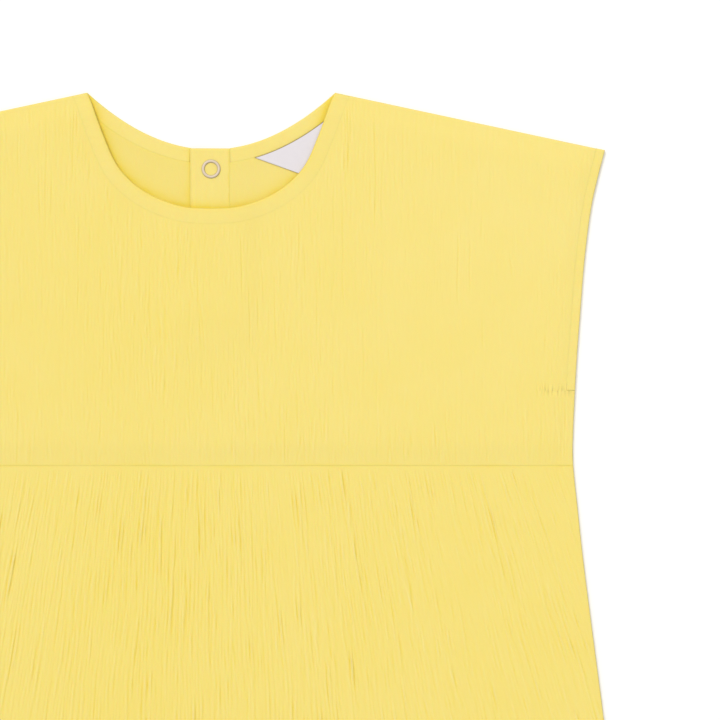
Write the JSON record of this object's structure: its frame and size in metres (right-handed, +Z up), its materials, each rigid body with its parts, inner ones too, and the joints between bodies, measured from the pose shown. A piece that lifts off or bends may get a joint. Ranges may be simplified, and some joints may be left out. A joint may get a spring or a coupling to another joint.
{
  "type": "gauze top",
  "caption": "Child's gauze top laid out flat, with cut-on cap sleeves, a banded round neck, a snapped back opening and a gathered skirt.",
  "frame": {"origin": "on the table, under the centre of the bounding box of the garment as it lies flat on its back", "axes": "+X across the garment, to the right of the picture; +Y from the hem towards the neck; +Z up from the table, out of the garment's front"},
  "size_m": [0.4132, 0.41, 0.0051],
  "materials": {
    "bodice_gauze": "crinkled double gauze, matt, fine upright creases",
    "skirt_gauze": "crinkled double gauze, matt, gathered creases that fan out",
    "band_gauze": "smooth turned gauze, matt, edge-stitched",
    "placket_gauze": "smooth pressed gauze, matt",
    "label_tape": "blank woven satin tape",
    "snap_metal": "polished nickel-plated ring"
  },
  "bodies": {
    "root": {"back_bodice": "bodice_gauze", "back_skirt": "skirt_gauze", "back_neck_band_left": "band_gauze", "back_neck_band_right": "band_gauze", "back_placket_lower": "placket_gauze", "back_placket_upper": "placket_gauze", "label": "label_tape", "front_bodice": "bodice_gauze", "front_skirt": "skirt_gauze", "front_neck_band": "band_gauze", "front_armhole_band_left": "band_gauze", "front_armhole_band_right": "band_gauze", "back_armhole_band_left": "band_gauze", "back_armhole_band_right": "band_gauze", "snap_ring_upper": "snap_metal", "snap_ring_lower": "snap_metal"}
  },
  "joints": []
}
